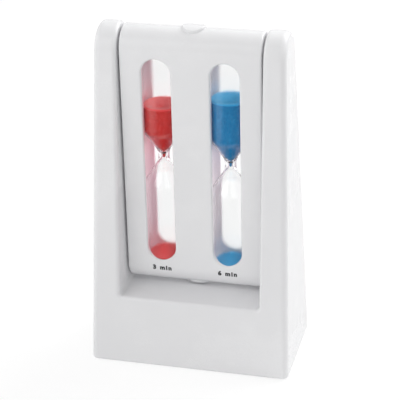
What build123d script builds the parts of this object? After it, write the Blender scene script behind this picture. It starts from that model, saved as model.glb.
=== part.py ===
from build123d import *
import math
import os

os.makedirs("parts", exist_ok=True)

# All lengths are millimetres. X is right, Y is back, Z is up, and the feet rest on Z = 0.

# Stand
HEIGHT = 130.0
BASE_WIDTH = 76.4
BASE_DEPTH = 43.0
SIDE_TAPER = 0.0255
TOP_RADIUS = 9.4
STAND_EDGE = 2.4
RIM_EDGE = 0.9
RIM_HEIGHT = 0.6
STAND_WALL = 2.2
GAP_WIDTH = 53.6
GAP_EDGE = 1.4
GAP_CORNER = 1.3
LEDGE_HEIGHT = 27.5
DIMPLE_WIDTH = 10.4
DIMPLE_DEPTH = 6.4
DIMPLE_SINK = 0.6

# Base cover, its screws and its feet
COVER_THICKNESS = 2.4
COVER_SINK = 0.4
COVER_PLAY = 0.15
SCREW_X = 22.0
SCREW_Y = 11.0
SCREW_RADIUS = 1.2
SCREW_LENGTH = 9.0
SCREW_PLAY = 0.1
TIP_PLAY = 0.4
HEAD_RADIUS = 2.2
HEAD_HEIGHT = 1.4
HEAD_EDGE = 0.5
RECESS_REACH = 1.3
RECESS_HALF = 0.25
RECESS_DEPTH = 0.8
BOSS_RADIUS = 3.0
FOOT_X = 29.5
FOOT_Y = 13.5
FOOT_RADIUS = 4.5
FOOT_SEAT = 0.6
FOOT_EDGE = 0.3

# Turning frame
PIVOT_HEIGHT = 79.0
FRAME_WIDTH = 52.0
FRAME_HEIGHT = 100.8
FRAME_THICKNESS = 15.8
FRAME_EDGE = 0.8
FRAME_WALL = 2.0
SLOT_X = 12.65
SLOT_WIDTH = 10.8
SLOT_LENGTH = 80.2
SLOT_EDGE = 0.8
NUB_WIDTH = 8.4
NUB_DEPTH = 7.8
NUB_RISE = 0.9
NUB_EDGE = 0.5
CHANNEL_WALL = 1.5
PEG_RADIUS = 1.5
PEG_REACH = 3.5
PEG_BOSS = 2.8
PEG_PLAY = 0.05
PEG_TIP_PLAY = 0.2
PEG_HEIGHTS = (-43.0, -28.0, -12.0, 12.0, 28.0, 43.0)

# Pivot
PIN_RADIUS = 2.5
PIN_PLAY = 0.05
PIN_END = 32.6
PIN_KEY = 4.6
PIN_CHAMFER = 0.4
FLANGE_RADIUS = 4.0
FLANGE_THICKNESS = 1.2
SADDLE_THICKNESS = 1.0
SADDLE_HEIGHT = 12.0
BUSH_RADIUS = 4.0
BUSH_END = 32.9
BUSH_SINK = 0.1
BUSH_PLAY = 0.1
SOCKET_RADIUS = 5.6
WASHER_RADIUS = 5.5
WASHER_THICKNESS = 0.7

# Sand glasses
GLASS_RADIUS = 7.7
GLASS_WALL = 0.4
GLASS_NECK = 2.1
GLASS_NECK_BEND = 6.8
GLASS_SHOULDER = 5.4
BORE_NECK = 0.6
BORE_NECK_BEND = 2.2
CONE_ANGLE = 34.0
DOME_HEIGHT = 37.5
SEAT_PLAY = 0.05
PLUG_RADIUS = 1.2
PAD_RADIUS = 4.0
PAD_END = 47.2
RED_NECK = 0.0
BLUE_NECK = -1.6

# Sand
SAND_PLAY = 0.1
SAND_TIP = 0.7
SAND_DIP = 0.9
SAND_ROUND = 0.75
REPOSE_ANGLE = 29.0
HEAP_ROUND = 3.0
RED_LEVEL = 20.4
BLUE_LEVEL = 24.6
RED_HEAP_PEAK = -36.6
BLUE_HEAP_PEAK = -37.9

# Helpers for cutting and picking edges
BIG = 200.0
CUT_MARGIN = 1.0
NEAR = 0.1
TOUCH = 0.01

# Worked out from the above
FRAME_END_RADIUS = FRAME_THICKNESS / 2
FRAME_END_CENTRE = FRAME_HEIGHT / 2 - FRAME_END_RADIUS
BORE_RADIUS = GLASS_RADIUS - GLASS_WALL
BORE_SHOULDER = GLASS_SHOULDER - GLASS_WALL
SAND_RADIUS = BORE_RADIUS - SAND_PLAY
COVER_BOTTOM = RIM_HEIGHT + COVER_SINK
COVER_TOP = COVER_BOTTOM + COVER_THICKNESS
SCREW_PLACES = [(x, y) for x in (-SCREW_X, SCREW_X) for y in (-SCREW_Y, SCREW_Y)]
FOOT_PLACES = {
    "foot_front_left": (-FOOT_X, -FOOT_Y),
    "foot_front_right": (FOOT_X, -FOOT_Y),
    "foot_rear_left": (-FOOT_X, FOOT_Y),
    "foot_rear_right": (FOOT_X, FOOT_Y),
}


def face_from(*edges):
    """Close a run of edges into one flat face."""
    return make_face(list(edges))


def block(x0, x1, y0, y1, z0, z1):
    """Give a box between two corners."""
    centre = Pos((x0 + x1) / 2, (y0 + y1) / 2, (z0 + z1) / 2)
    return centre * Box(x1 - x0, y1 - y0, z1 - z0)


def rod_x(radius, x0, x1, z=PIVOT_HEIGHT):
    """Give a round bar along X at the pivot height."""
    bar = Rot(0, 90, 0) * Cylinder(radius, abs(x1 - x0))
    return Pos((x0 + x1) / 2, 0, z) * bar


def rod_y(radius, x, z, y0, y1):
    """Give a round bar along Y."""
    bar = Rot(90, 0, 0) * Cylinder(radius, y1 - y0)
    return Pos(x, (y0 + y1) / 2, z) * bar


def rod_z(radius, x, y, z0, z1):
    """Give a round bar along Z."""
    return Pos(x, y, (z0 + z1) / 2) * Cylinder(radius, z1 - z0)


def save(shape, name):
    """Write one node of the assembly."""
    export_step(shape, f"parts/{name}.step")


def lean_angle():
    """Work out the lean that makes the front and back tangent to the round top."""
    half_depth = BASE_DEPTH / 2
    top_centre = HEIGHT - TOP_RADIUS
    reach = math.hypot(half_depth, top_centre)
    return math.acos(TOP_RADIUS / reach) - math.atan2(top_centre, half_depth)


def side_outline(inset, bottom):
    """Give the A-shaped side outline, moved inward by an inset."""
    lean = lean_angle()
    radius = TOP_RADIUS - inset
    top_centre = HEIGHT - TOP_RADIUS
    touch_y = radius * math.cos(lean)
    touch_z = top_centre + radius * math.sin(lean)
    foot_y = touch_y + (touch_z - bottom) * math.tan(lean)
    return face_from(
        Line((-foot_y, bottom), (foot_y, bottom)),
        Line((foot_y, bottom), (touch_y, touch_z)),
        ThreePointArc((touch_y, touch_z), (0, top_centre + radius), (-touch_y, touch_z)),
        Line((-touch_y, touch_z), (-foot_y, bottom)),
    )


def front_outline(inset, bottom):
    """Give the tapered front outline, moved inward by an inset."""
    foot_x = BASE_WIDTH / 2 - SIDE_TAPER * bottom - inset
    head_x = BASE_WIDTH / 2 - SIDE_TAPER * BIG - inset
    return face_from(
        Line((-foot_x, bottom), (foot_x, bottom)),
        Line((foot_x, bottom), (head_x, BIG)),
        Line((head_x, BIG), (-head_x, BIG)),
        Line((-head_x, BIG), (-foot_x, bottom)),
    )


def tapered_body(inset, bottom):
    """Give the body common to the side outline and the front outline."""
    from_side = extrude(Plane.YZ * side_outline(inset, bottom), BIG / 2, both=True)
    from_front = extrude(Plane.XZ * front_outline(inset, bottom), BIG / 2, both=True)
    return from_side & from_front


def gap_tool(margin):
    """Give the opening between the posts, grown by a margin."""
    half = GAP_WIDTH / 2 + margin
    tool = block(-half, half, -BIG / 2, BIG / 2, LEDGE_HEIGHT - margin, BIG)
    corners = tool.edges().filter_by(Axis.Y).group_by(Axis.Z)[0]
    return fillet(corners, GAP_CORNER)


def stand_body():
    """Make the one-piece moulded stand with its two hollow posts."""
    body = tapered_body(0, RIM_HEIGHT)
    upright = [e for e in body.edges() if abs(e.center().X) > GAP_WIDTH / 2]
    upright = [e for e in upright if e.bounding_box().size.Z > CUT_MARGIN]
    body = fillet(upright, STAND_EDGE)
    body = fillet(body.faces().sort_by(Axis.Z)[0].edges(), RIM_EDGE)
    body = body - gap_tool(0)
    loop = [e for e in body.edges() if abs(e.center().X) < GAP_WIDTH / 2 + NEAR]
    loop = [e for e in loop if e.center().Z > LEDGE_HEIGHT - NEAR]
    top_centre = HEIGHT - TOP_RADIUS
    loop = [e for e in loop if abs(e.center().Y) > CUT_MARGIN or e.center().Z > top_centre]
    body = fillet(loop, GAP_EDGE)

    hollow = tapered_body(STAND_WALL, -CUT_MARGIN) - gap_tool(STAND_WALL)
    body = body - hollow
    for x, y in SCREW_PLACES:
        body = body + rod_z(BOSS_RADIUS, x, y, COVER_TOP, LEDGE_HEIGHT - CUT_MARGIN)
    for side in (-1, 1):
        wall_x = GAP_WIDTH / 2 + CUT_MARGIN
        outer_x = BASE_WIDTH / 2 - SIDE_TAPER * PIVOT_HEIGHT - CUT_MARGIN
        body = body + rod_x(SOCKET_RADIUS, side * wall_x, side * outer_x)
    for x, y in SCREW_PLACES:
        tip = COVER_BOTTOM + HEAD_HEIGHT + SCREW_LENGTH
        body = body - rod_z(SCREW_RADIUS, x, y, COVER_TOP - CUT_MARGIN, tip)
    for side in (-1, 1):
        start = side * (GAP_WIDTH / 2 - CUT_MARGIN)
        body = body - rod_x(BUSH_RADIUS, start, side * (BUSH_END + BUSH_PLAY))
    dimple = block(-DIMPLE_WIDTH / 2, DIMPLE_WIDTH / 2, -DIMPLE_DEPTH / 2, DIMPLE_DEPTH / 2,
                   LEDGE_HEIGHT - DIMPLE_SINK, LEDGE_HEIGHT + CUT_MARGIN)
    dimple = fillet(dimple.edges().filter_by(Axis.Z), DIMPLE_DEPTH / 2 - NEAR)
    return body - dimple


def bottom_cover():
    """Make the plate that closes the hollow base."""
    inside = tapered_body(STAND_WALL + COVER_PLAY, -CUT_MARGIN)
    cover = inside & block(-BIG, BIG, -BIG, BIG, COVER_BOTTOM, COVER_TOP)
    for x, y in SCREW_PLACES:
        cover = cover - rod_z(SCREW_RADIUS + SCREW_PLAY, x, y, 0, BIG)
        cover = cover - rod_z(HEAD_RADIUS + SCREW_PLAY, x, y, 0, COVER_BOTTOM + HEAD_HEIGHT)
    for x, y in FOOT_PLACES.values():
        cover = cover - rod_z(FOOT_RADIUS, x, y, 0, COVER_BOTTOM + FOOT_SEAT)
    return cover


def cover_screw(x, y):
    """Make one self-tapping screw with a cross recess, driven from below."""
    head_top = COVER_BOTTOM + HEAD_HEIGHT
    screw = rod_z(HEAD_RADIUS, x, y, COVER_BOTTOM, head_top)
    screw = fillet(screw.edges().sort_by(Axis.Z)[0], HEAD_EDGE)
    screw = screw + rod_z(SCREW_RADIUS, x, y, head_top, head_top + SCREW_LENGTH - TIP_PLAY)
    for reach, half in ((RECESS_REACH, RECESS_HALF), (RECESS_HALF, RECESS_REACH)):
        recess_top = COVER_BOTTOM + RECESS_DEPTH
        screw = screw - block(x - reach, x + reach, y - half, y + half, 0, recess_top)
    return screw


def foot(x, y):
    """Make one glued rubber foot."""
    pad = rod_z(FOOT_RADIUS, x, y, 0, COVER_BOTTOM + FOOT_SEAT)
    return fillet(pad.edges().sort_by(Axis.Z)[0], FOOT_EDGE)


def bush(side):
    """Make the plain bearing pressed into one post."""
    start = side * (GAP_WIDTH / 2 + BUSH_SINK)
    end = side * BUSH_END
    sleeve = rod_x(BUSH_RADIUS, start, end)
    return sleeve - rod_x(PIN_RADIUS + PIN_PLAY, start - side, end + side)


def pivot_pin(side):
    """Make one pivot pin with a square neck and a flange held in the frame."""
    face_x = FRAME_WIDTH / 2
    inner_x = face_x - FRAME_WALL
    shank = rod_x(PIN_RADIUS, side * face_x, side * PIN_END)
    tip = shank.faces().sort_by(Axis.X)[-1 if side > 0 else 0]
    shank = chamfer(tip.edges(), PIN_CHAMFER)
    key = block(min(side * inner_x, side * face_x), max(side * inner_x, side * face_x),
                -PIN_KEY / 2, PIN_KEY / 2, PIVOT_HEIGHT - PIN_KEY / 2, PIVOT_HEIGHT + PIN_KEY / 2)
    flange = rod_x(FLANGE_RADIUS, side * (inner_x - FLANGE_THICKNESS), side * inner_x)
    return shank + key + flange


def friction_washer(side):
    """Make the soft washer between the frame and one post."""
    start = side * FRAME_WIDTH / 2
    end = side * (FRAME_WIDTH / 2 + WASHER_THICKNESS)
    ring = rod_x(WASHER_RADIUS, start, end)
    return ring - rod_x(PIN_RADIUS, start - side, end + side)


def stadium(radius, half_height, half_width):
    """Give a plate along X with full-round top and bottom ends."""
    straight = half_height - radius
    outline = face_from(
        Line((-radius, -straight), (-radius, straight)),
        ThreePointArc((-radius, straight), (0, half_height), (radius, straight)),
        Line((radius, straight), (radius, -straight)),
        ThreePointArc((radius, -straight), (0, -half_height), (-radius, -straight)),
    )
    plate = extrude(Plane.YZ * outline, half_width, both=True)
    return Pos(0, 0, PIVOT_HEIGHT) * plate


def capsule(x, radius):
    """Give a round-ended bar standing on the pivot height."""
    bar = rod_z(radius, x, 0, PIVOT_HEIGHT - DOME_HEIGHT, PIVOT_HEIGHT + DOME_HEIGHT)
    bar = bar + Pos(x, 0, PIVOT_HEIGHT + DOME_HEIGHT) * Sphere(radius)
    return bar + Pos(x, 0, PIVOT_HEIGHT - DOME_HEIGHT) * Sphere(radius)


def nub(end):
    """Give the round raised nub that follows one round end of the frame."""
    outer = FRAME_END_RADIUS + NUB_RISE
    post = extrude(Ellipse(NUB_WIDTH / 2, NUB_DEPTH / 2), outer + CUT_MARGIN)
    cap = Rot(0, 90, 0) * Cylinder(outer, NUB_WIDTH + CUT_MARGIN)
    button = post & cap
    button = fillet(button.edges().sort_by(Axis.Z)[-1], NUB_EDGE)
    if end < 0:
        button = Rot(180, 0, 0) * button
    return Pos(0, 0, PIVOT_HEIGHT + end * FRAME_END_CENTRE) * button


def frame_solid():
    """Make the whole frame before it is parted into two shells."""
    body = stadium(FRAME_END_RADIUS, FRAME_HEIGHT / 2, FRAME_WIDTH / 2)
    ends = body.faces().filter_by(Axis.X)
    body = fillet(ends.edges(), FRAME_EDGE)
    slot = extrude(Plane.XZ * (Rot(0, 0, 90) * SlotOverall(SLOT_LENGTH, SLOT_WIDTH)), BIG, both=True)
    for x in (-SLOT_X, SLOT_X):
        body = body - Pos(x, 0, PIVOT_HEIGHT) * slot
    half_slot = SLOT_WIDTH / 2 + TOUCH
    rims = [e for e in body.edges() if abs(abs(e.center().Y) - FRAME_THICKNESS / 2) < TOUCH]
    rims = [e for e in rims if abs(abs(e.center().X) - SLOT_X) < half_slot]
    rims = [e for e in rims if abs(e.center().Z - PIVOT_HEIGHT) < SLOT_LENGTH / 2 + TOUCH]
    body = fillet(rims, SLOT_EDGE)
    body = body + nub(1) + nub(-1)

    inner_half = FRAME_WIDTH / 2 - FRAME_WALL
    hollow = stadium(FRAME_END_RADIUS - FRAME_WALL, FRAME_HEIGHT / 2 - FRAME_WALL, inner_half)
    for x in (-SLOT_X, SLOT_X):
        channel = rod_z(GLASS_RADIUS + CHANNEL_WALL, x, 0, 0, BIG)
        hollow = hollow - channel
    for side in (-1, 1):
        near = side * (inner_half - FLANGE_THICKNESS)
        far = near - side * SADDLE_THICKNESS
        hollow = hollow - block(min(near, far), max(near, far), -BIG, BIG,
                                PIVOT_HEIGHT - SADDLE_HEIGHT / 2, PIVOT_HEIGHT + SADDLE_HEIGHT / 2)
    for z in PEG_HEIGHTS:
        hollow = hollow - rod_y(PEG_BOSS, 0, PIVOT_HEIGHT + z, -BIG, BIG)
    body = body - hollow
    for x in (-SLOT_X, SLOT_X):
        body = body - capsule(x, GLASS_RADIUS + SEAT_PLAY)
        body = body - rod_z(PAD_RADIUS, x, 0, PIVOT_HEIGHT - PAD_END, PIVOT_HEIGHT + PAD_END)
    for side in (-1, 1):
        body = body - pivot_pin(side)
    return body


def frame_shells():
    """Part the frame at its middle and add the pegs and their sockets."""
    whole = frame_solid()
    front = whole & block(-BIG, BIG, -BIG, 0, -BIG, BIG)
    rear = whole & block(-BIG, BIG, 0, BIG, -BIG, BIG)
    for z in PEG_HEIGHTS:
        peg = rod_y(PEG_RADIUS, 0, PIVOT_HEIGHT + z, -CUT_MARGIN, PEG_REACH)
        front = front + peg
        socket_end = PEG_REACH + PEG_TIP_PLAY
        rear = rear - rod_y(PEG_RADIUS + PEG_PLAY, 0, PIVOT_HEIGHT + z, -CUT_MARGIN, socket_end)
    return front, rear


def half_profile(neck, bend, shoulder, radius, neck_z, end, tip=0.0):
    """Give the edges of one bulb's profile, from the neck to the tip of its dome."""
    angle = math.radians(CONE_ANGLE)
    neck_r = neck + bend * (1 - math.cos(angle))
    neck_h = bend * math.sin(angle)
    cone_r = radius - shoulder + shoulder * math.cos(angle)
    cone_h = neck_h + (cone_r - neck_r) / math.tan(angle)
    wall_h = cone_h + shoulder * math.sin(angle)
    half = angle / 2
    neck_mid = (neck + bend * (1 - math.cos(half)), neck_z + end * bend * math.sin(half))
    shoulder_mid = (radius - shoulder * (1 - math.cos(half)),
                    neck_z + end * (wall_h - shoulder * math.sin(half)))
    dome_turn = math.acos(tip / radius)
    dome_mid = (radius * math.cos(dome_turn / 2),
                end * (DOME_HEIGHT + radius * math.sin(dome_turn / 2)))
    dome_end = (tip, end * (DOME_HEIGHT + radius * math.sin(dome_turn)))
    return [
        ThreePointArc((neck, neck_z), neck_mid, (neck_r, neck_z + end * neck_h)),
        Line((neck_r, neck_z + end * neck_h), (cone_r, neck_z + end * cone_h)),
        ThreePointArc((cone_r, neck_z + end * cone_h), shoulder_mid, (radius, neck_z + end * wall_h)),
        Line((radius, neck_z + end * wall_h), (radius, end * DOME_HEIGHT)),
        ThreePointArc((radius, end * DOME_HEIGHT), dome_mid, dome_end),
    ]


def turned(edges, x):
    """Revolve a half profile around a glass axis."""
    body = revolve(Plane.XZ * make_face(edges), Axis.Z, 360)
    return Pos(x, 0, PIVOT_HEIGHT) * body


def double_bulb(neck, bend, shoulder, radius, neck_z, x):
    """Give the solid inside one double-bulb profile."""
    upper = half_profile(neck, bend, shoulder, radius, neck_z, 1)
    lower = half_profile(neck, bend, shoulder, radius, neck_z, -1)
    top = (0, DOME_HEIGHT + radius)
    bottom = (0, -DOME_HEIGHT - radius)
    return turned(upper + lower + [Line(bottom, top)], x)


def glass_tube(x, neck_z):
    """Make one sand glass, open at its filling hole."""
    edges = []
    for end, tip in ((1, PLUG_RADIUS), (-1, 0.0)):
        edges += half_profile(GLASS_NECK, GLASS_NECK_BEND, GLASS_SHOULDER, GLASS_RADIUS, neck_z, end, tip)
        edges += half_profile(BORE_NECK, BORE_NECK_BEND, BORE_SHOULDER, BORE_RADIUS, neck_z, end, tip)
        outer_tip = end * (DOME_HEIGHT + math.sqrt(GLASS_RADIUS ** 2 - tip ** 2))
        inner_tip = end * (DOME_HEIGHT + math.sqrt(BORE_RADIUS ** 2 - tip ** 2))
        edges.append(Line((tip, outer_tip), (tip, inner_tip)))
    return turned(edges, x)


def glass_plug(x):
    """Make the plug that seals the filling hole flush with the glass."""
    centre = Pos(x, 0, PIVOT_HEIGHT + DOME_HEIGHT)
    stub = rod_z(PLUG_RADIUS, x, 0, PIVOT_HEIGHT + DOME_HEIGHT, PIVOT_HEIGHT + FRAME_HEIGHT / 2)
    return (stub & centre * Sphere(GLASS_RADIUS)) - centre * Sphere(BORE_RADIUS)


def end_pad(x, end):
    """Make the soft pad between a glass end and the frame."""
    start = PIVOT_HEIGHT + end * (DOME_HEIGHT + GLASS_RADIUS / 2)
    stop = PIVOT_HEIGHT + end * PAD_END
    pad = rod_z(PAD_RADIUS, x, 0, min(start, stop), max(start, stop))
    return pad - Pos(x, 0, PIVOT_HEIGHT + end * DOME_HEIGHT) * Sphere(GLASS_RADIUS)


def sand_room(x, neck_z):
    """Give the space that sand can take inside one glass."""
    return double_bulb(BORE_NECK - SAND_PLAY, BORE_NECK_BEND + SAND_PLAY, BORE_SHOULDER - SAND_PLAY,
                       SAND_RADIUS, neck_z, x)


def upper_sand(x, neck_z, level):
    """Make the sand still above the neck, with a shallow dip in its top."""
    flat = SAND_RADIUS - SAND_ROUND
    bend = SAND_ROUND * (1 - math.sqrt(0.5))
    shoulder = level - SAND_ROUND
    tip = neck_z + SAND_TIP
    mass = turned([
        Line((0, tip), (SAND_RADIUS, tip)),
        Line((SAND_RADIUS, tip), (SAND_RADIUS, shoulder)),
        ThreePointArc((SAND_RADIUS, shoulder), (SAND_RADIUS - bend, level - bend), (flat, level)),
        Line((flat, level), (0, level - SAND_DIP)),
        Line((0, level - SAND_DIP), (0, tip)),
    ], x)
    return mass & sand_room(x, neck_z)


def lower_sand(x, neck_z, peak):
    """Make the heap of sand that has run through, with a blunt peak."""
    slope = math.radians(REPOSE_ANGLE)
    centre = peak - HEAP_ROUND
    blunt = (HEAP_ROUND * math.sin(slope), centre + HEAP_ROUND * math.cos(slope))
    blunt_mid = (HEAP_ROUND * math.sin(slope / 2), centre + HEAP_ROUND * math.cos(slope / 2))
    skirt = blunt[1] - (SAND_RADIUS - blunt[0]) * math.tan(slope)
    floor = -DOME_HEIGHT - SAND_RADIUS - CUT_MARGIN
    mass = turned([
        Line((0, floor), (SAND_RADIUS, floor)),
        Line((SAND_RADIUS, floor), (SAND_RADIUS, skirt)),
        Line((SAND_RADIUS, skirt), blunt),
        ThreePointArc(blunt, blunt_mid, (0, peak)),
        Line((0, peak), (0, floor)),
    ], x)
    return mass & sand_room(x, neck_z)


def build():
    """Make every node and write it."""
    save(stand_body(), "stand_body")
    save(bottom_cover(), "bottom_cover")
    save(Compound([cover_screw(x, y) for x, y in SCREW_PLACES]), "cover_screws")
    for name, (x, y) in FOOT_PLACES.items():
        save(foot(x, y), name)
    front, rear = frame_shells()
    save(front, "front_shell")
    save(rear, "rear_shell")
    for name, side in (("left", -1), ("right", 1)):
        save(bush(side), f"bush_{name}")
        save(pivot_pin(side), f"pivot_pin_{name}")
        save(friction_washer(side), f"friction_washer_{name}")
    for name, x, neck_z in (("red", -SLOT_X, RED_NECK), ("blue", SLOT_X, BLUE_NECK)):
        save(glass_tube(x, neck_z), f"{name}_glass")
        save(glass_plug(x), f"{name}_glass_plug")
        save(end_pad(x, 1), f"{name}_top_pad")
        save(end_pad(x, -1), f"{name}_bottom_pad")
    save(upper_sand(-SLOT_X, RED_NECK, RED_LEVEL), "red_sand_upper")
    save(lower_sand(-SLOT_X, RED_NECK, RED_HEAP_PEAK), "red_sand_lower")
    save(upper_sand(SLOT_X, BLUE_NECK, BLUE_LEVEL), "blue_sand_upper")
    save(lower_sand(SLOT_X, BLUE_NECK, BLUE_HEAP_PEAK), "blue_sand_lower")


build()
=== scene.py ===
"""Looks of a flip-over hourglass: sand glasses in a frame that turns between the posts of a stand."""

from __future__ import annotations

import logging
import math
from dataclasses import dataclass, field
from enum import Enum
from typing import Any, Dict, List, Sequence, Tuple

import bpy
from mathutils import Matrix, Vector

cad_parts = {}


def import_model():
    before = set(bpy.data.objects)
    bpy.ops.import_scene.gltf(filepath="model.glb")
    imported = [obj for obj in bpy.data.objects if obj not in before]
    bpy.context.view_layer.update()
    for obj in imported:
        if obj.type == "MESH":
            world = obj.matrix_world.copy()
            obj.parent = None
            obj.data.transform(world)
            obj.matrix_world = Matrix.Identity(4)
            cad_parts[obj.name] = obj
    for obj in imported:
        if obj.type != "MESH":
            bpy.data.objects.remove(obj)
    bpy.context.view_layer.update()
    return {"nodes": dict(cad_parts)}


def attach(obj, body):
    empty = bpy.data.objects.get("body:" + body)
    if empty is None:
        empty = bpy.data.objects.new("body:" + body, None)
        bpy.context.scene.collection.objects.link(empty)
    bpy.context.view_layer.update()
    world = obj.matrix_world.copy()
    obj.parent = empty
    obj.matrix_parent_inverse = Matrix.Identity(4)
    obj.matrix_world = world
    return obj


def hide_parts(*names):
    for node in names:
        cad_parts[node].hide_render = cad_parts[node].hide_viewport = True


LOG = logging.getLogger("hourglass")
MM = 0.001
MERGE = 1e-7
PIVOT_Z = 79.0 * MM
GLASS_X = 12.65 * MM

Colour = Tuple[float, float, float]
Nodes = Dict[str, bpy.types.Object]


class Body(Enum):
    """The bodies that new pieces ride on."""

    FRAME = "frame"
    RED_UPPER = "red_upper"
    RED_LOWER = "red_lower"
    BLUE_UPPER = "blue_upper"
    BLUE_LOWER = "blue_lower"


class Face(Enum):
    """The two broad faces of the turning frame."""

    FRONT = "front"
    REAR = "rear"


class Signal:
    """One shader value that Python expressions can work on."""

    def __init__(self, bench: NodeBench, socket: bpy.types.NodeSocket) -> None:
        """Keep the socket and the bench that it belongs to."""
        self.bench = bench
        self.socket = socket

    def _join(self, operation: str, first: Any, second: Any) -> Signal:
        """Add one Math node.

        Args:
            operation: the Math node's operation.
            first: a number or a signal.
            second: a number or a signal.

        Returns:
            The node's result.
        """
        return self.bench.node("ShaderNodeMath", {"operation": operation}, {0: first, 1: second})

    def __add__(self, other: Any) -> Signal:
        """Give self + other."""
        return self._join("ADD", self, other)

    def __radd__(self, other: Any) -> Signal:
        """Give other + self."""
        return self._join("ADD", other, self)

    def __sub__(self, other: Any) -> Signal:
        """Give self - other."""
        return self._join("SUBTRACT", self, other)

    def __rsub__(self, other: Any) -> Signal:
        """Give other - self."""
        return self._join("SUBTRACT", other, self)

    def __mul__(self, other: Any) -> Signal:
        """Give self * other."""
        return self._join("MULTIPLY", self, other)

    def __rmul__(self, other: Any) -> Signal:
        """Give other * self."""
        return self._join("MULTIPLY", other, self)

    def __abs__(self) -> Signal:
        """Give the absolute value."""
        return self._join("ABSOLUTE", self, 0.0)

    def step(self, start: float, stop: float) -> Signal:
        """Ramp smoothly from 0 at start to 1 at stop.

        Args:
            start: the value that gives 0.
            stop: the value that gives 1.

        Returns:
            The ramped signal.
        """
        inputs = {"Value": self, "From Min": start, "From Max": stop}
        return self.bench.node("ShaderNodeMapRange", {"interpolation_type": "SMOOTHSTEP"}, inputs)


class NodeBench:
    """A node tree and the ways to add to it."""

    def __init__(self, tree: bpy.types.NodeTree) -> None:
        """Work on a tree."""
        self.tree = tree

    def node(self, kind: str, settings: Dict[str, Any], inputs: Dict[Any, Any], output: Any = 0) -> Signal:
        """Add any node.

        Args:
            kind: the node's type.
            settings: attributes of the node, and the stops of a ramp as "stops".
            inputs: values or signals by socket name or number.
            output: name or number of the output to give back.

        Returns:
            The chosen output.
        """
        made = self.tree.nodes.new(kind)
        for key, value in settings.items():
            if key == "stops":
                self._set_stops(made, value)
            else:
                setattr(made, key, value)
        for key, value in inputs.items():
            self.feed(made.inputs[key], value)
        return Signal(self, made.outputs[output])

    def _set_stops(self, ramp: bpy.types.Node, stops: Sequence[Tuple[float, Colour]]) -> None:
        """Give a colour ramp its stops.

        Args:
            ramp: the ramp's node.
            stops: places from 0 to 1, each with its colour.
        """
        elements = ramp.color_ramp.elements
        while len(elements) < len(stops):
            elements.new(1.0)
        for element, (place, colour) in zip(elements, stops):
            element.position = place
            element.color = (*colour, 1.0)

    def feed(self, socket: bpy.types.NodeSocket, value: Any) -> None:
        """Link a signal to a socket, or set a plain value on it.

        Args:
            socket: the socket to feed.
            value: a signal, a colour or a number.
        """
        if isinstance(value, Signal):
            self.tree.links.new(value.socket, socket)
        elif isinstance(value, tuple) and socket.type == "RGBA":
            socket.default_value = (*value, 1.0)
        else:
            socket.default_value = value

    def seen(self, *rays: str) -> Signal:
        """Tell the rays that look at the set from those that light it.

        Args:
            rays: names of Light Path outputs.

        Returns:
            1 on any of those rays, 0 on the others.
        """
        total = sum(self.node("ShaderNodeLightPath", {}, {}, ray) for ray in rays)
        return total.step(0.0, 1.0)


class MaterialBench(NodeBench):
    """The tree of a material with one Principled shader, filled in by a finish."""

    def __init__(self, name: str) -> None:
        """Start a material with nothing but its shader and output.

        Args:
            name: the material's name.
        """
        self.material = bpy.data.materials.new(name)
        self.material.use_nodes = True
        super().__init__(self.material.node_tree)
        self.shader = self.tree.nodes["Principled BSDF"]

    def set(self, **values: Any) -> None:
        """Set or link sockets of the shader, by name with _ for a space."""
        for key, value in values.items():
            self.feed(self.shader.inputs[key.replace("_", " ")], value)

    def place(self) -> Signal:
        """Give the point on the object, in metres."""
        return self.node("ShaderNodeTexCoord", {}, {}, "Object")

    def axis(self, letter: str) -> Signal:
        """Give one coordinate of the point on the object."""
        return self.node("ShaderNodeSeparateXYZ", {}, {0: self.place()}, letter)

    def noise(self, size: float, detail: float = 2.0) -> Signal:
        """Give soft noise around 0.5.

        Args:
            size: the size of its largest lumps, in metres.
            detail: octaves of finer lumps.

        Returns:
            The noise.
        """
        inputs = {"Vector": self.place(), "Scale": 1.0 / size, "Detail": detail}
        return self.node("ShaderNodeTexNoise", {}, inputs, "Fac")

    def mix(self, factor: Any, first: Any, second: Any) -> Signal:
        """Blend two colours by a factor."""
        return self.node("ShaderNodeMix", {"data_type": "RGBA"}, {0: factor, 6: first, 7: second}, 2)

    def bump(self, height: Signal, depth: float, strength: float) -> Signal:
        """Turn a height into a normal.

        Args:
            height: the height signal, 0 to 1.
            depth: the depth in metres that 1 stands for.
            strength: how much of it shows.

        Returns:
            A normal for the shader.
        """
        return self.node("ShaderNodeBump", {}, {"Strength": strength, "Distance": depth, "Height": height})


@dataclass(frozen=True)
class MouldedPlastic:
    """Satin plastic from a mould, with a fine spark texture and a faint flow mottle."""

    name: str
    colour: Colour = (0.85, 0.85, 0.86)
    shade: Colour = (0.838, 0.838, 0.85)
    roughness: float = 0.25
    texture: float = 0.22 * MM
    texture_depth: float = 0.02 * MM
    texture_show: float = 0.25
    texture_gloss: float = 0.10
    flow: float = 26.0 * MM
    flow_detail: float = 3.0
    flow_edge: Tuple[float, float] = (0.35, 0.65)
    flow_gloss: float = 0.05
    index: float = 1.5

    def make(self) -> bpy.types.Material:
        """Build the material.

        Returns:
            The finished material.
        """
        bench = MaterialBench(self.name)
        flow = bench.noise(self.flow, detail=self.flow_detail).step(*self.flow_edge)
        grain = bench.noise(self.texture)
        gloss = self.roughness + self.flow_gloss * (flow - 0.5) + self.texture_gloss * (grain - 0.5)
        bench.set(Base_Color=self.tint(bench, bench.mix(flow, self.shade, self.colour)))
        bench.set(Roughness=gloss, IOR=self.index)
        bench.set(Normal=bench.bump(grain, self.texture_depth, self.texture_show))
        return bench.material

    def tint(self, bench: MaterialBench, colour: Signal) -> Signal:
        """Give the colour with what this moulding adds to it.

        Args:
            bench: the material in the making; not used by the plain moulding.
            colour: the plain plastic.

        Returns:
            The same colour.
        """
        return colour


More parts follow.
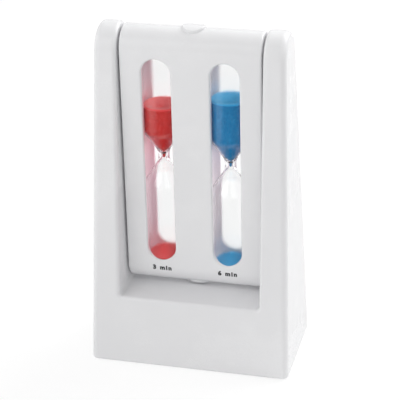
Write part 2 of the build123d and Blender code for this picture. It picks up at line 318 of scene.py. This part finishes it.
@dataclass(frozen=True)
class BearingPlastic(MouldedPlastic):
    """Plain bearing plastic, creamier and duller than the housings."""

    colour: Colour = (0.80, 0.79, 0.75)
    shade: Colour = (0.76, 0.75, 0.70)
    roughness: float = 0.45


@dataclass(frozen=True)
class ShellPlastic(MouldedPlastic):
    """The frame's plastic, with a hairline parting, and with the sand's pink and lilac bounce light
    painted on the walls of the glass channels.
    """

    parting: float = 0.07 * MM
    parting_dirt: Colour = (0.42, 0.42, 0.43)
    parting_show: float = 0.5
    middle: float = PIVOT_Z
    channel_x: float = GLASS_X
    channel_half: Tuple[float, float, float] = (9.4 * MM, 6.9 * MM, 46.5 * MM)
    channel_edge: float = 0.5 * MM
    between: float = 1.0 * MM
    # Painted bounce light: the tints that the channel walls get from the red and the blue sand.
    painted_red_bounce: Colour = (0.98, 0.70, 0.78)
    painted_blue_bounce: Colour = (1.0, 0.90, 0.95)

    def tint(self, bench: MaterialBench, colour: Signal) -> Signal:
        """Give the colour with the parting line, and with painted bounce light of the sand inside the
        glass channels.

        Args:
            bench: the material in the making.
            colour: the plain plastic.

        Returns:
            The tinted colour.
        """
        across = bench.axis("X")
        depth = abs(bench.axis("Y"))
        line = 1.0 - depth.step(self.parting * 0.5, self.parting)
        # Painted bounce light: inside the glass channels the plastic is tinted pink by the red glass and
        # lilac by the blue one, in place of light bounced off the sand.
        inside = 1.0
        reaches = (abs(abs(across) - self.channel_x), depth, abs(bench.axis("Z") - self.middle))
        for reach, half in zip(reaches, self.channel_half):
            inside = inside * (1.0 - reach.step(half - self.channel_edge, half))
        painted_bounce = bench.mix(across.step(-self.between, self.between), self.painted_red_bounce, self.painted_blue_bounce)
        return bench.mix(line * self.parting_show, bench.mix(inside, colour, painted_bounce), self.parting_dirt)


@dataclass(frozen=True)
class DrawnGlass:
    """Clear drawn glass, wavy from flame work, with a film of sand dust that thickens towards its ends."""

    name: str = "flame_worked_glass"
    colour: Colour = (0.977, 0.980, 0.980)
    index: float = 1.46
    sheen: Colour = (0.9, 0.9, 0.9)
    wave: float = 7.0 * MM
    wave_depth: float = 0.05 * MM
    wave_show: float = 0.12
    clear: float = 0.10
    dusty: float = 0.20
    middle: float = PIVOT_Z
    dust_reach: Tuple[float, float] = (23.0 * MM, 33.0 * MM)

    def make(self) -> bpy.types.Material:
        """Build the material.

        Returns:
            The finished material.
        """
        bench = MaterialBench(self.name)
        wave = bench.noise(self.wave, detail=1.0)
        dust = abs(bench.axis("Z") - self.middle).step(*self.dust_reach)
        bench.set(Base_Color=self.colour, IOR=self.index, Transmission_Weight=1.0)
        bench.set(Roughness=self.clear + (self.dusty - self.clear) * dust, Specular_Tint=self.sheen)
        bench.set(Normal=bench.bump(wave, self.wave_depth, self.wave_show))
        through = bench.node("ShaderNodeBsdfTransparent", {}, {"Color": self.colour})
        surface = Signal(bench, bench.shader.outputs[0])
        for ray in ("Is Diffuse Ray", "Is Shadow Ray"):
            passing = bench.node("ShaderNodeLightPath", {}, {}, ray)
            surface = bench.node("ShaderNodeMixShader", {}, {0: passing, 1: surface, 2: through})
        bench.feed(bench.tree.nodes["Material Output"].inputs["Surface"], surface)
        return bench.material


@dataclass(frozen=True)
class DyedSand:
    """Fine dyed sand: packed grains of slightly different tints, paler on a heap and on a level top,
    partly as loose grains and partly as painted top light.
    """

    name: str
    body: Colour
    pale: Colour
    deep: Colour
    # heap and level: paler colours for sand that faces up, partly loose grains and partly painted top
    # light.
    heap: Colour
    level: Colour
    grain: float = 0.30 * MM
    grain_depth: float = 0.10 * MM
    grain_show: float = 0.6
    grain_places: Tuple[float, ...] = (0.0, 0.35, 0.8, 1.0)
    loose_grain: float = 0.25
    drift: float = 5.0 * MM
    drift_show: float = 0.3
    drift_edge: Tuple[float, float] = (0.3, 0.7)
    clump: float = 0.9 * MM
    clump_show: float = 0.35
    clump_edge: Tuple[float, float] = (0.40, 0.60)
    painted_top_light_slope: Tuple[float, float] = (0.90, 0.98)
    loose_and_painted_top_light_slope: Tuple[float, float] = (0.30, 0.50)
    roughness: float = 0.65
    grain_gloss: float = 0.25
    specular: float = 0.04

    def make(self) -> bpy.types.Material:
        """Build the material.

        Returns:
            The finished material.
        """
        bench = MaterialBench(self.name)
        cells = {"Vector": bench.place(), "Scale": 1.0 / self.grain, "Randomness": 1.0}
        tint = bench.node("ShaderNodeTexVoronoi", {"feature": "F1"}, cells, "Color")
        centre = bench.node("ShaderNodeTexVoronoi", {"feature": "F1"}, cells, "Distance")
        pick = bench.node("ShaderNodeSeparateColor", {}, {0: tint})
        stops = list(zip(self.grain_places, (self.deep, self.body, self.body, self.pale)))
        grains = bench.node("ShaderNodeValToRGB", {"stops": stops}, {0: pick})
        drift = bench.noise(self.drift, detail=3.0).step(*self.drift_edge)
        packed = bench.mix(self.drift_show * drift, grains, self.body)
        # Sand that faces up is painted paler and brighter: partly loose grains, partly painted top light
        # on the heap and the level top.
        facing = bench.node("ShaderNodeTexCoord", {}, {}, "Normal")
        upward = bench.node("ShaderNodeSeparateXYZ", {}, {0: facing}, "Z")
        top = bench.mix(upward.step(*self.painted_top_light_slope), self.heap, self.level)
        clumps = bench.noise(self.clump, detail=3.0).step(*self.clump_edge)
        lumpy = bench.mix(self.clump_show * clumps, top, self.heap)
        loose = bench.mix(self.loose_grain * pick, lumpy, self.pale)
        bench.set(Base_Color=bench.mix(upward.step(*self.loose_and_painted_top_light_slope), packed, loose))
        bench.set(Roughness=self.roughness + self.grain_gloss * pick, Specular_IOR_Level=self.specular)
        bench.set(Normal=bench.bump(1.0 - centre, self.grain_depth, self.grain_show))
        return bench.material


@dataclass(frozen=True)
class PrintInk:
    """Near-black pad print, with pinholes where the pad missed."""

    name: str = "pad_print"
    colour: Colour = (0.022, 0.022, 0.026)
    missed: Colour = (0.30, 0.30, 0.31)
    speck: float = 0.18 * MM
    speck_edge: Tuple[float, float] = (0.55, 0.75)
    speck_show: float = 0.18
    roughness: float = 0.42
    speck_gloss: float = 0.15

    def make(self) -> bpy.types.Material:
        """Build the material.

        Returns:
            The finished material.
        """
        bench = MaterialBench(self.name)
        speck = bench.noise(self.speck).step(*self.speck_edge)
        bench.set(Base_Color=bench.mix(self.speck_show * speck, self.colour, self.missed))
        bench.set(Roughness=self.roughness + self.speck_gloss * speck)
        return bench.material


@dataclass(frozen=True)
class SoftRubber:
    """Rubber or silicone with a dusty, slightly pitted skin."""

    name: str
    colour: Colour
    dust: Colour
    pit: float = 0.5 * MM
    pit_depth: float = 0.05 * MM
    pit_show: float = 0.5
    patch: float = 4.0 * MM
    patch_edge: Tuple[float, float] = (0.45, 0.75)
    patch_show: float = 0.35
    roughness: float = 0.72
    patch_gloss: float = 0.18

    def make(self) -> bpy.types.Material:
        """Build the material.

        Returns:
            The finished material.
        """
        bench = MaterialBench(self.name)
        dust = bench.noise(self.patch, detail=4.0).step(*self.patch_edge)
        bench.set(Base_Color=bench.mix(self.patch_show * dust, self.colour, self.dust))
        bench.set(Roughness=self.roughness + self.patch_gloss * dust)
        bench.set(Normal=bench.bump(bench.noise(self.pit, detail=3.0), self.pit_depth, self.pit_show))
        return bench.material


@dataclass(frozen=True)
class PaleSilicone(SoftRubber):
    """The milky silicone of the washers and the end pads."""

    colour: Colour = (0.72, 0.72, 0.71)
    dust: Colour = (0.80, 0.79, 0.77)


@dataclass(frozen=True)
class BlackRubber(SoftRubber):
    """The black rubber of the feet."""

    colour: Colour = (0.035, 0.035, 0.036)
    dust: Colour = (0.16, 0.155, 0.15)


@dataclass(frozen=True)
class PlatedSteel:
    """Zinc-plated screw steel, clouded by handling."""

    name: str = "zinc_plate"
    colour: Colour = (0.58, 0.58, 0.56)
    dull: Colour = (0.42, 0.41, 0.38)
    cloud: float = 0.9 * MM
    roughness: float = 0.30
    cloud_gloss: float = 0.22

    def make(self) -> bpy.types.Material:
        """Build the material.

        Returns:
            The finished material.
        """
        bench = MaterialBench(self.name)
        cloud = bench.noise(self.cloud, detail=4.0)
        bench.set(Base_Color=bench.mix(cloud, self.colour, self.dull))
        bench.set(Metallic=1.0, Roughness=self.roughness + self.cloud_gloss * cloud)
        return bench.material


def deselect_all() -> None:
    """Leave nothing selected, in object mode."""
    if bpy.context.object and bpy.context.object.mode != "OBJECT":
        bpy.ops.object.mode_set(mode="OBJECT")
    bpy.ops.object.select_all(action="DESELECT")


def pick_only(piece: bpy.types.Object) -> None:
    """Select one piece and make it the active one.

    Args:
        piece: the piece to work on next.
    """
    deselect_all()
    piece.select_set(True)
    bpy.context.view_layer.objects.active = piece


def settle(piece: bpy.types.Object) -> bpy.types.Object:
    """Put a piece's place into its mesh, so that its object sits at the origin.

    Args:
        piece: the finished piece.

    Returns:
        The same piece.
    """
    pick_only(piece)
    bpy.ops.object.transform_apply(location=True, rotation=True, scale=True)
    return piece


def dress(piece: bpy.types.Object, material: bpy.types.Material) -> None:
    """Give a piece one material.

    Args:
        piece: the piece to dress.
        material: what it is made of.
    """
    piece.data.materials.clear()
    piece.data.materials.append(material)
    LOG.info("dressed %s with %s", piece.name, material.name)


class Lathe:
    """Turns a solid on an upright axis by extruding one ring after another."""

    def __init__(self, name: str, x: float, radius: float, z: float, sides: int) -> None:
        """Start with one open ring.

        Args:
            name: the piece's name.
            x: where the axis stands.
            radius: the first ring's radius.
            z: the first ring's height.
            sides: points round each ring.
        """
        deselect_all()
        bpy.ops.mesh.primitive_circle_add(vertices=sides, radius=radius, location=(x, 0.0, 0.0))
        self.piece = bpy.context.object
        self.piece.name = name
        self.x = x
        self.radius = radius
        self.z = z
        self.first_z = z
        bpy.ops.object.mode_set(mode="EDIT")
        bpy.ops.mesh.select_all(action="SELECT")
        bpy.ops.transform.translate(value=(0.0, 0.0, z))

    def ring(self, radius: float, z: float) -> None:
        """Extrude the open ring to a new radius and height.

        Args:
            radius: the new ring's radius.
            z: the new ring's height.
        """
        bpy.ops.mesh.extrude_region_move(TRANSFORM_OT_translate={"value": (0.0, 0.0, z - self.z)})
        ratio = radius / self.radius
        bpy.ops.transform.resize(value=(ratio, ratio, 1.0), center_override=(self.x, 0.0, z))
        self.radius = radius
        self.z = z

    def close_end(self, z: float) -> None:
        """Extrude the open ring to a point on the axis."""
        bpy.ops.mesh.extrude_region_move(TRANSFORM_OT_translate={"value": (0.0, 0.0, z - self.z)})
        bpy.ops.mesh.merge(type="CENTER")

    def close_start(self) -> None:
        """Fill the first ring with a fan of faces."""
        bpy.ops.mesh.select_all(action="DESELECT")
        bpy.ops.object.mode_set(mode="OBJECT")
        for vertex in self.piece.data.vertices:
            vertex.select = abs(vertex.co.z - self.first_z) < MERGE
        bpy.ops.object.mode_set(mode="EDIT")
        bpy.ops.mesh.edge_face_add()
        bpy.ops.mesh.poke()

    def finish(self) -> bpy.types.Object:
        """Point the faces outwards, smooth them and settle the piece.

        Returns:
            The turned piece.
        """
        bpy.ops.mesh.select_all(action="SELECT")
        bpy.ops.mesh.remove_doubles(threshold=MERGE)
        bpy.ops.mesh.normals_make_consistent(inside=False)
        bpy.ops.object.mode_set(mode="OBJECT")
        bpy.ops.object.shade_smooth()
        return settle(self.piece)


@dataclass
class Bore:
    """The room for sand inside one double-bulb glass."""

    x: float
    neck_z: float
    middle: float = PIVOT_Z
    dome: float = 37.5 * MM
    radius: float = 7.25 * MM
    neck: float = 0.55 * MM
    bend: float = 2.25 * MM
    shoulder: float = 4.95 * MM
    cone_deg: float = 34.0

    def floor(self) -> float:
        """Give the height of the lowest point of the lower bulb."""
        return self.middle - self.dome - self.radius

    def radius_at(self, z: float) -> float:
        """Give the radius of the room for sand at a height.

        Args:
            z: the height above the floor.

        Returns:
            The radius, in metres.
        """
        past_dome = abs(z - self.middle) - self.dome
        if past_dome > 0.0:
            return math.sqrt(max(self.radius ** 2 - past_dome ** 2, 0.0))
        rise = abs(z - self.middle - self.neck_z)
        angle = math.radians(self.cone_deg)
        bend_end = self.bend * math.sin(angle)
        bend_r = self.neck + self.bend * (1.0 - math.cos(angle))
        cone_r = self.radius - self.shoulder * (1.0 - math.cos(angle))
        cone_end = bend_end + (cone_r - bend_r) / math.tan(angle)
        wall_start = cone_end + self.shoulder * math.sin(angle)
        if rise < bend_end:
            return self.neck + self.bend - math.sqrt(self.bend ** 2 - rise ** 2)
        if rise < cone_end:
            return bend_r + (rise - bend_end) * math.tan(angle)
        if rise < wall_start:
            left = wall_start - rise
            return self.radius - self.shoulder + math.sqrt(self.shoulder ** 2 - left ** 2)
        return self.radius


@dataclass
class SandCharge:
    """One charge of sand in one bulb, turned to fit the glass, with a loose, uneven top."""

    node: str
    body: Body
    bore: Bore
    finish: bpy.types.Material
    slot: str
    level: float
    sides: int = 60
    step: float = 0.45 * MM
    lumps: float = 0.10 * MM
    lump_sizes: Tuple[float, float] = (2.6 * MM, 0.6 * MM)
    top_group: str = "open_top"
    halvings: int = 40
    fewest_rings: int = 8

    def bottom(self) -> float:
        """Give the height where the charge starts."""
        raise NotImplementedError

    def top_at(self, reach: float) -> float:
        """Give the height of the open top at a distance from the axis."""
        raise NotImplementedError

    def side_at(self, z: float) -> float:
        """Give the radius of the charge at a height: the glass holds it."""
        return self.bore.radius_at(z)

    def rim(self) -> float:
        """Find where the open top meets the glass.

        Returns:
            The distance from the axis, in metres.
        """
        low = 0.0
        high = self.bore.radius
        for _ in range(self.halvings):
            middle = (low + high) / 2.0
            if self.bore.radius_at(self.top_at(middle)) > middle:
                low = middle
            else:
                high = middle
        return low

    def build(self) -> bpy.types.Object:
        """Turn the charge from its bottom up to the middle of its top.

        Returns:
            The finished charge, riding on its body.
        """
        start = self.bottom()
        rim = self.rim()
        rim_z = self.top_at(rim)
        lathe = Lathe(self.node + "_grains", self.bore.x, self.side_at(start), start, self.sides)
        count = max(int((rim_z - start) / self.step), self.fewest_rings)
        for index in range(1, count + 1):
            z = start + (rim_z - start) * index / count
            lathe.ring(self.side_at(z), z)
        rings = int(rim / self.step)
        for index in range(1, rings):
            reach = rim * (1.0 - index / rings)
            lathe.ring(reach, self.top_at(reach))
        lathe.close_end(self.top_at(0.0))
        lathe.close_start()
        piece = lathe.finish()
        self._loosen(piece, rim)
        dress(piece, self.finish)
        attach(piece, self.body.value)
        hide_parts(self.node)
        return piece

    def _loosen(self, piece: bpy.types.Object, rim: float) -> None:
        """Make the open top uneven, and leave the sides against the glass.

        Args:
            piece: the turned charge.
            rim: how far from the axis the open top reaches.
        """
        top = piece.vertex_groups.new(name=self.top_group)
        for vertex in piece.data.vertices:
            reach = math.hypot(vertex.co.x - self.bore.x, vertex.co.y)
            on_top = abs(vertex.co.z - self.top_at(reach)) < self.lumps
            if on_top and reach < rim - self.step / 2.0:
                top.add([vertex.index], 1.0, "REPLACE")
        pick_only(piece)
        finer = piece.modifiers.new("finer", "SUBSURF")
        finer.levels = 1
        finer.render_levels = 1
        bpy.ops.object.modifier_apply(modifier=finer.name)
        for size in self.lump_sizes:
            cloud = bpy.data.textures.new("sand_lumps", "CLOUDS")
            cloud.noise_scale = size
            cloud.noise_depth = 1
            lumps = piece.modifiers.new("lumps", "DISPLACE")
            lumps.texture = cloud
            lumps.texture_coords = "LOCAL"
            lumps.direction = "Z"
            lumps.strength = self.lumps
            lumps.vertex_group = self.top_group
            bpy.ops.object.modifier_apply(modifier=lumps.name)


@dataclass
class UpperCharge(SandCharge):
    """Sand still above the neck: a filled funnel whose top sinks a little in the middle."""

    tip: float = 0.8 * MM
    trickle: float = 0.2 * MM
    dip: float = 1.8 * MM
    dip_power: float = 1.5
    slump: float = 0.55 * MM
    slump_start: float = 0.9

    def bottom(self) -> float:
        """Give the height where the sand ends in the neck."""
        return self.bore.middle + self.bore.neck_z - self.tip

    def side_at(self, z: float) -> float:
        """Fill the glass above the neck, and thin out to a trickle below it.

        Args:
            z: the height above the floor.

        Returns:
            The radius, in metres.
        """
        rise = (z - self.bottom()) / self.tip
        if rise > 1.0:
            return self.bore.radius_at(z)
        return self.trickle + (self.bore.neck - self.trickle) * rise

    def top_at(self, reach: float) -> float:
        """Sink towards the middle, and slump at the glass.

        Args:
            reach: the distance from the axis.

        Returns:
            The height of the open top.
        """
        share = reach / self.bore.radius
        edge = max(share - self.slump_start, 0.0) / (1.0 - self.slump_start)
        sunk = self.dip * (1.0 - share) ** self.dip_power + self.slump * edge ** 2
        return self.bore.middle + self.level - sunk


@dataclass
class LowerCharge(SandCharge):
    """Sand that has run through: a heap at its angle of repose, with a blunt peak."""

    repose_deg: float = 29.0
    blunt: float = 3.0 * MM
    floor_gap: float = 0.04 * MM

    def bottom(self) -> float:
        """Give the height just above the lowest point of the bulb."""
        return self.bore.floor() + self.floor_gap

    def top_at(self, reach: float) -> float:
        """Fall from the blunt peak at the angle of repose.

        Args:
            reach: the distance from the axis.

        Returns:
            The height of the open top.
        """
        slope = math.radians(self.repose_deg)
        centre = self.bore.middle + self.level - self.blunt
        edge = self.blunt * math.sin(slope)
        if reach < edge:
            return centre + math.sqrt(self.blunt ** 2 - reach ** 2)
        return centre + self.blunt * math.cos(slope) - (reach - edge) * math.tan(slope)


@dataclass
class TimeMark:
    """One printed time, under a slot on one face of the frame."""

    words: str
    name: str
    x: float
    face: Face
    finish: bpy.types.Material
    pivot: float = PIVOT_Z
    face_y: float = 7.9 * MM
    straight: float = 42.5 * MM
    drop: float = 43.2 * MM
    cap: float = 1.75 * MM
    cap_share: float = 0.69
    spread: float = 1.3
    weight: float = 0.15 * MM
    film: float = 0.03 * MM
    curve_steps: int = 6

    def build(self) -> bpy.types.Object:
        """Set the words, make them a mesh and lay them on their face.

        Returns:
            The finished mark, riding on the frame.
        """
        deselect_all()
        bpy.ops.object.text_add(location=(0.0, 0.0, 0.0))
        piece = bpy.context.object
        piece.name = f"time_mark_{self.face.value}_{self.name}"
        text = piece.data
        text.body = self.words
        text.align_x = "CENTER"
        text.size = self.cap / self.cap_share
        text.offset = self.weight
        text.space_character = self.spread
        text.extrude = self.film
        text.resolution_u = self.curve_steps
        bpy.ops.object.convert(target="MESH")
        lay = Matrix.Rotation(math.radians(90.0), 4, "X")
        place = Matrix.Translation((self.x, -self.face_y, self.pivot - self.drop - self.cap / 2.0))
        if self.face is Face.REAR:
            centre = Matrix.Translation((0.0, 0.0, self.pivot))
            place = centre @ Matrix.Rotation(math.pi, 4, "X") @ centre.inverted() @ place
        piece.matrix_world = place @ lay
        settle(piece)
        self._wrap(piece)
        dress(piece, self.finish)
        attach(piece, Body.FRAME.value)
        return piece

    def _wrap(self, piece: bpy.types.Object) -> None:
        """Lay the words on the round end of the frame where they reach past its flat face.

        Args:
            piece: the words as a mesh.
        """
        for vertex in piece.data.vertices:
            past = max(abs(vertex.co.z - self.pivot) - self.straight, 0.0)
            sink = self.face_y - math.sqrt(self.face_y ** 2 - past ** 2)
            vertex.co.y -= math.copysign(sink, vertex.co.y)


@dataclass
class Stand:
    """The stand: moulded body, bottom cover, screws, feet and bushes."""

    nodes: Nodes
    feet: Tuple[str, ...] = ("foot_front_left", "foot_front_right", "foot_rear_left", "foot_rear_right")

    def dress(self) -> None:
        """Give each node of the stand its finish."""
        plastic = MouldedPlastic("stand_moulding").make()
        bearing = BearingPlastic("bush_acetal").make()
        rubber = BlackRubber("foot_pad_rubber").make()
        dress(self.nodes["stand_body"], plastic)
        dress(self.nodes["bottom_cover"], plastic)
        dress(self.nodes["cover_screws"], PlatedSteel().make())
        for name in self.feet:
            dress(self.nodes[name], rubber)
        for name in ("bush_left", "bush_right"):
            dress(self.nodes[name], bearing)


@dataclass
class TurningFrame:
    """The frame between the posts: two shells on pins and washers, with the times printed on."""

    nodes: Nodes
    glass_x: float = GLASS_X

    def dress(self) -> None:
        """Give each node of the frame its finish, apart from the glasses."""
        shell = ShellPlastic("shell_moulding").make()
        pin = BearingPlastic("pin_acetal", roughness=0.42).make()
        washer = PaleSilicone("washer_silicone").make()
        for name in ("front_shell", "rear_shell"):
            dress(self.nodes[name], shell)
        for side in ("left", "right"):
            dress(self.nodes[f"pivot_pin_{side}"], pin)
            dress(self.nodes[f"friction_washer_{side}"], washer)

    def print_times(self) -> List[bpy.types.Object]:
        """Print the times on both faces.

        Returns:
            The marks.
        """
        ink = PrintInk().make()
        made = []
        for face in Face:
            made.append(TimeMark("3 min", "red", -self.glass_x, face, ink).build())
            made.append(TimeMark("6 min", "blue", self.glass_x, face, ink).build())
        return made


@dataclass
class SandGlass:
    """One double-bulb glass with its plug, its end pads and its sand."""

    nodes: Nodes
    name: str
    bore: Bore
    sand: DyedSand
    upper: Body
    lower: Body
    level: float
    heap: float

    def dress(self, glass: bpy.types.Material, pad: bpy.types.Material) -> None:
        """Give the glass, its plug and its pads their finish.

        Args:
            glass: the finish of the glass and its plug.
            pad: the finish of the end pads.
        """
        dress(self.nodes[f"{self.name}_glass"], glass)
        dress(self.nodes[f"{self.name}_glass_plug"], glass)
        dress(self.nodes[f"{self.name}_top_pad"], pad)
        dress(self.nodes[f"{self.name}_bottom_pad"], pad)

    def fill(self) -> List[bpy.types.Object]:
        """Make both charges of sand.

        Returns:
            The upper charge and the lower charge.
        """
        finish = self.sand.make()
        slot = f"{self.name}_sand"
        upper = UpperCharge(f"{slot}_upper", self.upper, self.bore, finish, slot, self.level)
        lower = LowerCharge(f"{slot}_lower", self.lower, self.bore, finish, slot, self.heap)
        return [upper.build(), lower.build()]


@dataclass(frozen=True)
class Softbox:
    """One square area lamp, aimed at the middle of the object."""

    name: str
    place: Tuple[float, float, float]
    power: float
    size: float = 0.7

    def hang(self, target: Vector) -> bpy.types.Object:
        """Hang the lamp.

        Args:
            target: the point that it looks at.

        Returns:
            The lamp's object.
        """
        lamp = bpy.data.lights.new(self.name, "AREA")
        lamp.size = self.size
        lamp.energy = self.power
        holder = bpy.data.objects.new(self.name, lamp)
        bpy.context.scene.collection.objects.link(holder)
        turn = (target - Vector(self.place)).to_track_quat("-Z", "Y").to_matrix().to_4x4()
        holder.matrix_world = Matrix.Translation(self.place) @ turn
        return holder


@dataclass
class Studio:
    """Floor, light and the camera at the photograph's angle."""

    image: float = 400.0
    focal_px: float = 1562.85
    sensor: float = 36.0
    azimuth: float = math.radians(14.744)
    elevation: float = math.radians(25.699)
    roll: float = math.radians(-1.452)
    distance: float = 581.4 * MM
    aim_z: float = 65.0 * MM
    shift_right: float = 0.733 * MM
    shift_up: float = -3.103 * MM
    room: float = 0.36
    room_front: float = 0.37
    room_turn: Tuple[float, float] = (-0.8, 0.2)
    seen_level: float = 1.0
    light_bounces: int = 64
    glass_bounces: int = 48
    diffuse_bounces: int = 10
    mirror_bounces: int = 8
    floor_bounce: Colour = (0.90, 0.90, 0.90)
    floor_colour: Colour = (0.22, 0.22, 0.22)
    floor_lift: Colour = (0.81, 0.81, 0.81)
    floor_roughness: float = 0.9
    floor_half: float = 4.0
    clip_start: float = 0.01
    # Painted reflection: a dark patch on the floor in front, seen only in mirror images, that darkens what
    # the glass reflects from that side.
    painted_reflection_patch: Tuple[float, float] = (-0.10, -0.07)
    painted_reflection_patch_edge: float = 0.04
    painted_reflection_colour: Colour = (0.12, 0.12, 0.12)
    lamps: List[Softbox] = field(default_factory=lambda: [
        Softbox("front_left_softbox", (-0.50, -0.60, 0.55), 2.3),
        Softbox("front_right_softbox", (0.50, -0.60, 0.55), 1.5),
        Softbox("left_softbox", (-0.75, -0.10, 0.45), 1.4),
        Softbox("rear_softbox", (0.05, 0.60, 0.80), 1.0),
        Softbox("rear_right_softbox", (0.50, 0.50, 0.65), 5.2),
    ])

    def camera(self) -> bpy.types.Object:
        """Stand the camera where the photograph was taken.

        Returns:
            The camera's object.
        """
        back = Vector((math.sin(self.azimuth) * math.cos(self.elevation),
                       -math.cos(self.azimuth) * math.cos(self.elevation), math.sin(self.elevation)))
        level = (-back).cross(Vector((0.0, 0.0, 1.0))).normalized()
        upright = level.cross(-back)
        right = level * math.cos(self.roll) + upright * math.sin(self.roll)
        above = upright * math.cos(self.roll) - level * math.sin(self.roll)
        place = Vector((0.0, 0.0, self.aim_z)) + back * self.distance
        place += right * self.shift_right + above * self.shift_up
        lens = bpy.data.cameras.new("camera")
        lens.sensor_width = self.sensor
        lens.lens = self.focal_px / self.image * self.sensor
        lens.clip_start = self.clip_start
        camera = bpy.data.objects.new("camera", lens)
        bpy.context.scene.collection.objects.link(camera)
        turn = Matrix((right, above, back)).transposed().to_4x4()
        camera.matrix_world = Matrix.Translation(place) @ turn
        bpy.context.scene.camera = camera
        return camera

    def floor(self) -> bpy.types.Object:
        """Lay the pale floor, which takes the shadow and carries a painted reflection: a dark patch in
        front that only mirrored glossy rays see.

        Returns:
            The floor's object.
        """
        deselect_all()
        bpy.ops.mesh.primitive_plane_add(size=2.0 * self.floor_half)
        floor = bpy.context.object
        floor.name = "floor"
        bench = MaterialBench("floor_paint")
        seen = bench.seen("Is Camera Ray", "Is Glossy Ray", "Is Transmission Ray")
        bench.set(Base_Color=bench.mix(seen, self.floor_bounce, self.floor_colour))
        bench.set(Roughness=self.floor_roughness, Specular_IOR_Level=0.0)
        # Painted reflection: only glossy rays after a bounce see the dark patch here, and the camera sees
        # the plain floor.
        patch_x, patch_y = self.painted_reflection_patch
        beside = bench.axis("X").step(patch_x - self.painted_reflection_patch_edge, patch_x + self.painted_reflection_patch_edge)
        before = 1.0 - bench.axis("Y").step(patch_y - self.painted_reflection_patch_edge, patch_y + self.painted_reflection_patch_edge)
        mirrored = bench.node("ShaderNodeLightPath", {}, {}, "Glossy Depth").step(0.0, 1.0)
        painted_reflection_mask = bench.seen("Is Glossy Ray") * mirrored * beside * before
        lift = bench.mix(painted_reflection_mask, self.floor_lift, self.painted_reflection_colour)
        bench.set(Emission_Color=bench.mix(seen, (0.0, 0.0, 0.0), lift), Emission_Strength=1.0)
        dress(floor, bench.material)
        return floor

    def light(self) -> None:
        """Hang the softboxes, light the room and let light travel far through the glass."""
        for lamp in self.lamps:
            lamp.hang(Vector((0.0, 0.0, self.aim_z)))
        world = bpy.data.worlds.new("room")
        bpy.context.scene.world = world
        world.use_nodes = True
        bench = NodeBench(world.node_tree)
        way = bench.node("ShaderNodeTexCoord", {}, {}, "Generated")
        behind = bench.node("ShaderNodeSeparateXYZ", {}, {0: way}, "Y").step(*self.room_turn)
        looking = bench.seen("Is Camera Ray", "Is Transmission Ray")
        mirrored = bench.seen("Is Glossy Ray") * behind
        seen = (looking + mirrored).step(0.0, 1.0)
        room = self.room_front + (self.room - self.room_front) * behind
        sky = world.node_tree.nodes["Background"]
        sky.inputs["Color"].default_value = (1.0, 1.0, 1.0, 1.0)
        bench.feed(sky.inputs["Strength"], room + (self.seen_level - room) * seen)
        cycles = bpy.context.scene.cycles
        cycles.max_bounces = self.light_bounces
        cycles.transmission_bounces = self.glass_bounces
        cycles.diffuse_bounces = self.diffuse_bounces
        cycles.glossy_bounces = self.mirror_bounces


def make_glasses(nodes: Nodes) -> List[SandGlass]:
    """Give the two sand glasses with their sizes.

    Args:
        nodes: the CAD nodes by name.

    Returns:
        The red glass and the blue glass.
    """
    # In both sands, heap and level are painted paler and brighter than the body: partly loose grains,
    # partly painted top light.
    red_sand = DyedSand(
        name="red_dyed_sand",
        body=(0.64, 0.020, 0.018),
        pale=(0.88, 0.12, 0.11),
        deep=(0.40, 0.008, 0.008),
        heap=(0.97, 0.08, 0.085),
        level=(1.0, 0.25, 0.25),
    )
    blue_sand = DyedSand(
        name="blue_dyed_sand",
        body=(0.003, 0.198, 0.465),
        pale=(0.05, 0.40, 0.72),
        deep=(0.001, 0.10, 0.28),
        heap=(0.04, 0.42, 0.81),
        level=(0.13, 0.60, 0.99),
    )
    red = SandGlass(
        nodes=nodes,
        name="red",
        bore=Bore(x=-GLASS_X, neck_z=0.0),
        sand=red_sand,
        upper=Body.RED_UPPER,
        lower=Body.RED_LOWER,
        level=20.8 * MM,
        heap=-36.6 * MM,
    )
    blue = SandGlass(
        nodes=nodes,
        name="blue",
        bore=Bore(x=GLASS_X, neck_z=-1.6 * MM),
        sand=blue_sand,
        upper=Body.BLUE_UPPER,
        lower=Body.BLUE_LOWER,
        level=24.75 * MM,
        heap=-37.9 * MM,
    )
    return [red, blue]


def main(studio: Studio) -> None:
    """Build the scene.

    Args:
        studio: the set that the object stands in.
    """
    logging.basicConfig(level=logging.INFO, format="%(name)s: %(message)s")
    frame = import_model()
    bpy.context.scene.view_settings.view_transform = "Standard"
    studio.camera()
    studio.floor()
    studio.light()
    nodes = frame["nodes"]
    Stand(nodes).dress()
    turning = TurningFrame(nodes)
    turning.dress()
    made = turning.print_times()
    glass = DrawnGlass().make()
    pad = PaleSilicone("pad_silicone").make()
    for sand_glass in make_glasses(nodes):
        sand_glass.dress(glass, pad)
        made += sand_glass.fill()
    for piece in made:
        LOG.info("made %s with %d faces", piece.name, len(piece.data.polygons))


if __name__ == "__main__":
    main(Studio())
